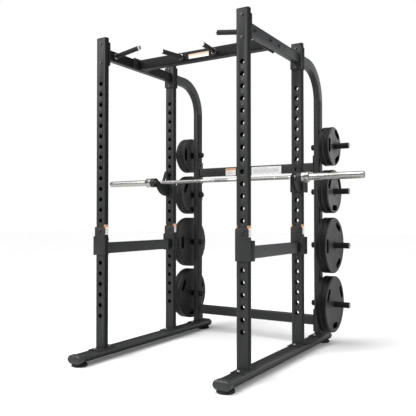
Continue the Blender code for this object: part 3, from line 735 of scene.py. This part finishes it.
# ---- weight plates ---------------------------------------------------------------------------
def plate_mesh(radius, first, face_look):
    """An enamelled plate: hub ring, flat web, rounded rim, and three hand slots."""
    h = PLATE_T / 2
    rim = [(radius - 0.012 + 0.012 * sin(radians(a)), h - 0.010 + 0.010 * cos(radians(a)))
           for a in range(0, 91, 15)]
    face = [(0.0255, h - 0.0015), (0.0268, h - 0.0002), (0.0400, h - 0.0002), (0.0415, h - 0.0016),
            (0.0430, h - 0.0016), (0.0450, h - 0.0004), (radius - 0.022, h - 0.0004), (radius - 0.020, h)]
    half = face + rim
    profile = half + [(r, -t) for r, t in reversed(half)]
    disc = lathe("X", profile, n=96, closed=True)
    flare = 0.0025
    tools = []
    for k in range(3):
        rings = []
        for t, grow in ((-h - 0.01, 0.01), (-h, flare), (-h + flare, 0),
                        (h - flare, 0), (h, flare), (h + 0.01, 0.01)):
            rings.append(ring(rounded(0.110 + 2 * grow, 0.044 + 2 * grow, 0.0215 + grow, 8), "X", t))
        turn = Matrix.Rotation(radians(first + 120 * k), 4, "X")
        tools.append(moved(moved(loft(rings), (0, 0, 0.75 * radius)), turn=turn))
    disc = cut(disc, united(*tools))

    def rule(c, n):
        """Painted faces, rim and slot walls painted near-black as shade, glossy hub."""
        r = (c.y ** 2 + c.z ** 2) ** 0.5
        if abs(n.x) < 0.55:
            return 1
        return 2 if r < 0.0435 else 0

    return paint(disc, rule, face_look, IRON_RIM_SHADE, HUB)


for n, (z, radius, first) in enumerate(zip(HORN_Z, PLATE_R, SLOT_TURN), 1):
    disc = plate_mesh(radius, first, (IRON_LIGHT, IRON_LIGHT, IRON, IRON_DEEP)[n - 1])
    for side, sign in SIDES:
        for order, which in enumerate(("inner", "outer")):
            x = sign * (PLATE_START + PLATE_T / 2 + order * (PLATE_T + 0.0003))
            node = f"plate_{side}_{n}_{which}"
            put(f"{node}_fine", moved(disc, (x, STORE_Y, z)), node, cad=[node], angle=28)

# ---- barbell ---------------------------------------------------------------------------------
def bar_paint(centre, normal):
    """Knurled in the middle and under the hands, with a smooth ring mark in each hand's knurl."""
    x = abs(centre.x)
    return 1 if 0.18 < x < 0.56 and not 0.450 < x < 0.455 or x < 0.06 else 0


shaft_steps = [(0.0137, -0.6217), (0.0140, -0.6210)]
for x in (-0.560, -0.455, -0.450, -0.180, -0.060, 0.060, 0.180, 0.450, 0.455, 0.560, 0.6210):
    shaft_steps.append((0.0140, x))
shaft_steps.append((0.0137, 0.6217))
shaft = lathe("X", shaft_steps, n=48)
shaft = paint(shaft, bar_paint, CHROME, KNURL)
put("bar_shaft_fine", moved(shaft, (0, BAR_Y, BAR_Z)), "barbell", cad=["bar_shaft"])
at = (BAR_Y, BAR_Z)
black_ring = lathe("X", [(0.0150, 0.6222), (0.0350, 0.6222), (0.0370, 0.6240), (0.0370, 0.6630),
                         (0.0360, 0.6645)], at)
collar = lathe("X", [(0.0355, 0.6648), (0.0370, 0.6665), (0.0370, 0.7130), (0.0355, 0.7160),
                     (0.0265, 0.7165)], at, n=64)
sleeve = lathe("X", [(0.0250, 0.7150), (0.0250, 1.0750), (0.0244, 1.0756), (0.0244, 1.0776),
                     (0.0250, 1.0782), (0.0250, 1.1020), (0.0240, 1.1045), (0.0200, 1.1050),
                     (0.0195, 1.1020), (0.0080, 1.1016), (0.0076, 1.1030)], at, n=64)
both("bar_ring_%s", black_ring, "sleeve_%s", PLASTIC)
bush = lathe("X", [(0.0152, 0.6240), (0.0152, 0.6215), (0.0225, 0.6215), (0.0232, 0.6220),
                   (0.0232, 0.6240)], at)
both("bar_bush_%s", bush, "sleeve_%s", CHROME)
both("bar_collar_%s", collar, "sleeve_%s", CHROME)
both("bar_sleeve_%s_fine", sleeve, "sleeve_%s", CHROME, cad=["bar_sleeve_%s"])

# ---- J-cups ----------------------------------------------------------------------------------
def dark_edge(centre, normal):
    """Charcoal sides and near-black edges of a plate that stands across X; the edges are part dark liner
    and part painted shade.
    """
    return 1 if abs(normal.x) < 0.7 else 0


SEAT, LIP = 0.018, BAR_Y - 0.018
hook = ([(0.2200, 1.3055), (0.168, 1.3055)] + arc(BAR_Y, BAR_Z, SEAT, SEAT, 300, 180, 14)
        + [(LIP, 1.3060)] + arc(0.0880, 1.3055, 0.0043, 0.0035, 0, 180, 6)
        + arc(0.2160, 1.290, 0.2160 - 0.0835, 0.103, 180, 270, 20) + [(0.2200, 1.187)])
hook_mesh = softened(loft([ring(hook, "X", 0.5822), ring(hook, "X", 0.6058)]), 0.0012, 2, 50)
hook_mesh = paint(hook_mesh, dark_edge, COAT, COAT_DARK_AND_SHADE)
both("jcup_hook_%s", hook_mesh, "jcup_%s", cad=["jcup_%s"])
back = slab("Y", 0.094, 0.120, 0.008, 0.2199, 0.2257, (0.568, 1.250), edge=0.0012)
both("jcup_plate_%s", back, "jcup_%s", COAT)
tab = slab("X", 0.088, 0.082, 0.008, 0.6157, 0.6248, (0.264, 1.231), edge=0.0015)
both("jcup_tab_%s", tab, "jcup_%s", COAT)
guide = [(0.161, 1.298), (0.168, 1.306), (0.2073, 1.3925), (0.2085, 1.3938), (0.2120, 1.3925),
         (0.2125, 1.3905), (0.1735, 1.302)]
guide_mesh = paint(prism("X", guide, 0.5802, 0.6078, 0.0010), dark_edge, COAT, COAT_DARK_AND_SHADE)
both("jcup_guide_%s", guide_mesh, "jcup_%s")
pin_back = lathe("Y", [(0.0104, 0.2250), (0.0104, 0.2540), (0.0080, 0.2605), (0.0040, 0.2610)],
                 (SX, JPIN_Z), n=32)
both("jcup_pin_%s", pin_back, "jcup_%s", ZINC)
r0, r1 = SEAT - 0.0004, 0.0146
liner = (arc(BAR_Y, BAR_Z, r0, r0, 300, 180, 14) + [(BAR_Y - r0, 1.304), (BAR_Y - r1, 1.304)]
         + arc(BAR_Y, BAR_Z, r1, r1, 180, 300, 14))
both("jcup_liner_%s_fine", prism("X", liner, 0.5825, 0.6055, 0.0006, 1), "jcup_%s", PLASTIC,
     cad=["jcup_liner_%s"])

# ---- safety arms -----------------------------------------------------------------------------
arm = slab("Y", 0.050, 0.078, 0.009, -0.5682, 0.2180, (SX, ARM_Z), edge=0.0003, steps=1)
# Painted light: the outer face takes the lit copy of the coat.
arm = paint(arm, lambda c, n: 1 if n.x > 0.7 else 0, COAT, COAT_PAINTED_LIT)
both("arm_%s_fine", arm, "cage", cad=["safety_arm_%s"])
plate_face = ([(0.524, 0.738), (0.629, 0.738), (0.629, 0.872), (0.6155, 0.872)]
              + arc(0.6035, 0.928, 0.012, 0.012, 0, 90, 6)
              + arc(0.536, 0.928, 0.012, 0.012, 90, 180, 6))
for end, y in (("front", FRONT_Y), ("rear", REAR_Y)):
    front = y - 0.0293
    wrapped = prism("Y", plate_face, front, front + 0.008, 0.0012)
    both(f"arm_plate_{end}_%s", wrapped, "cage", COAT)
    # Painted shade: the outer web takes the shaded copy of the coat.
    web = slab("X", 0.052, 0.126, 0.003, 0.6222, 0.6298, (front + 0.034, 0.801), edge=0.0012)
    both(f"arm_web_{end}_%s", web, "cage", COAT_DARK_AND_SHADE)
    rear = slab("Y", 0.090, 0.126, 0.004, y + 0.0232, y + 0.0348, (0.585, 0.801), edge=0.0012)
    both(f"arm_back_{end}_%s", rear, "cage", COAT)
    head = lathe("Y", [(0.0125, front - 0.0003), (0.0134, front - 0.0010), (0.0134, front - 0.0042),
                       (0.0110, front - 0.0068), (0.0050, front - 0.0072)], (SX, PIN_Z), n=40)
    stem = lathe("Y", [(0.0103, front + 0.0001), (0.0103, front + 0.0350), (0.0060, front + 0.0415)],
                 (SX, PIN_Z), n=32)
    both(f"pin_{end}_%s_fine", united(head, stem), f"safety_pin_{end}_%s", BOLT,
         cad=[f"safety_pin_{end}_%s"])
# A dark sleeve at the arm's end in the shaded copy of the coat: part a boot, part painted shade.
boot_and_shade = slab("Y", 0.0512, 0.0792, 0.0094, 0.1720, 0.2176, (SX, ARM_Z), edge=0.0006, steps=2)
both("arm_boot_%s", boot_and_shade, "cage", COAT_DARK_AND_SHADE)


# ---- studio ----------------------------------------------------------------------------------
floor_look = Look("studio_floor", (0.90, 0.90, 0.90), rough=0.9, Specular_IOR_Level=0.0)
floor_tone = floor_look.mix(floor_look.noise(3), (0.90, 0.90, 0.90), (0.88, 0.88, 0.88))
floor_look.shade("Base Color", floor_tone)
bm = bmesh.new()
bmesh.ops.create_grid(bm, x_segments=1, y_segments=1, size=30)
floor = bpy.data.objects.new("floor", finished(bm))
floor.data.materials.append(floor_look.mat)
floor.location.z = -0.0005
scene.collection.objects.link(floor)

world = bpy.data.worlds.new("studio")
scene.world = world
world.use_nodes = True
sky = world.node_tree
background = sky.nodes["Background"]
background.inputs["Color"].default_value = (1, 1, 1, 1)
background.inputs["Strength"].default_value = 1.0
ambient = sky.nodes.new("ShaderNodeBackground")
ambient.inputs["Strength"].default_value = 0.46
mirror = sky.nodes.new("ShaderNodeBackground")
direction = sky.nodes.new("ShaderNodeTexCoord")
height = sky.nodes.new("ShaderNodeSeparateXYZ")
sky.links.new(direction.outputs["Generated"], height.inputs[0])
bands = sky.nodes.new("ShaderNodeValToRGB")
bands.color_ramp.elements[0].position, bands.color_ramp.elements[0].color = 0.0, (0.30, 0.30, 0.30, 1)
bands.color_ramp.elements[1].position, bands.color_ramp.elements[1].color = 1.0, (0.50, 0.50, 0.50, 1)
for place, level in ((0.08, 0.10), (0.45, 0.12), (0.60, 0.70), (0.85, 0.60)):
    bands.color_ramp.elements.new(place).color = (level, level, level, 1)
sky.links.new(height.outputs["Z"], bands.inputs[0])
sky.links.new(bands.outputs[0], mirror.inputs["Color"])
rays = sky.nodes.new("ShaderNodeLightPath")
glossy = sky.nodes.new("ShaderNodeMixShader")
chooser = sky.nodes.new("ShaderNodeMixShader")
for a, b in ((rays.outputs["Is Glossy Ray"], glossy.inputs[0]), (ambient.outputs[0], glossy.inputs[1]),
             (mirror.outputs[0], glossy.inputs[2]), (rays.outputs["Is Camera Ray"], chooser.inputs[0]),
             (glossy.outputs[0], chooser.inputs[1]), (background.outputs[0], chooser.inputs[2]),
             (chooser.outputs[0], sky.nodes["World Output"].inputs["Surface"])):
    sky.links.new(a, b)


def softbox(name, place, target, size, power):
    light = bpy.data.lights.new(name, "AREA")
    light.shape = "RECTANGLE"
    light.size, light.size_y = size
    light.energy = power
    made = bpy.data.objects.new(name, light)
    made.location = place
    made.rotation_euler = (Vector(target) - Vector(place)).to_track_quat("-Z", "Y").to_euler()
    scene.collection.objects.link(made)


sun = bpy.data.objects.new("sun", bpy.data.lights.new("sun", "SUN"))
sun.data.energy = 2.6
sun.data.angle = radians(55)
sun.rotation_euler = Vector((0.25, 0.45, -1.0)).to_track_quat("-Z", "Y").to_euler()
scene.collection.objects.link(sun)
softbox("key", (-3.2, -5.0, 4.2), (0, 0, 1.0), (3.0, 3.0), 200)
softbox("side", (5.5, -0.5, 3.2), (0, 0, 1.2), (3.5, 2.5), 120)
softbox("rim", (1.9, 5.5, 2.4), (0.5, 0.5, 1.2), (1.5, 3.0), 35)
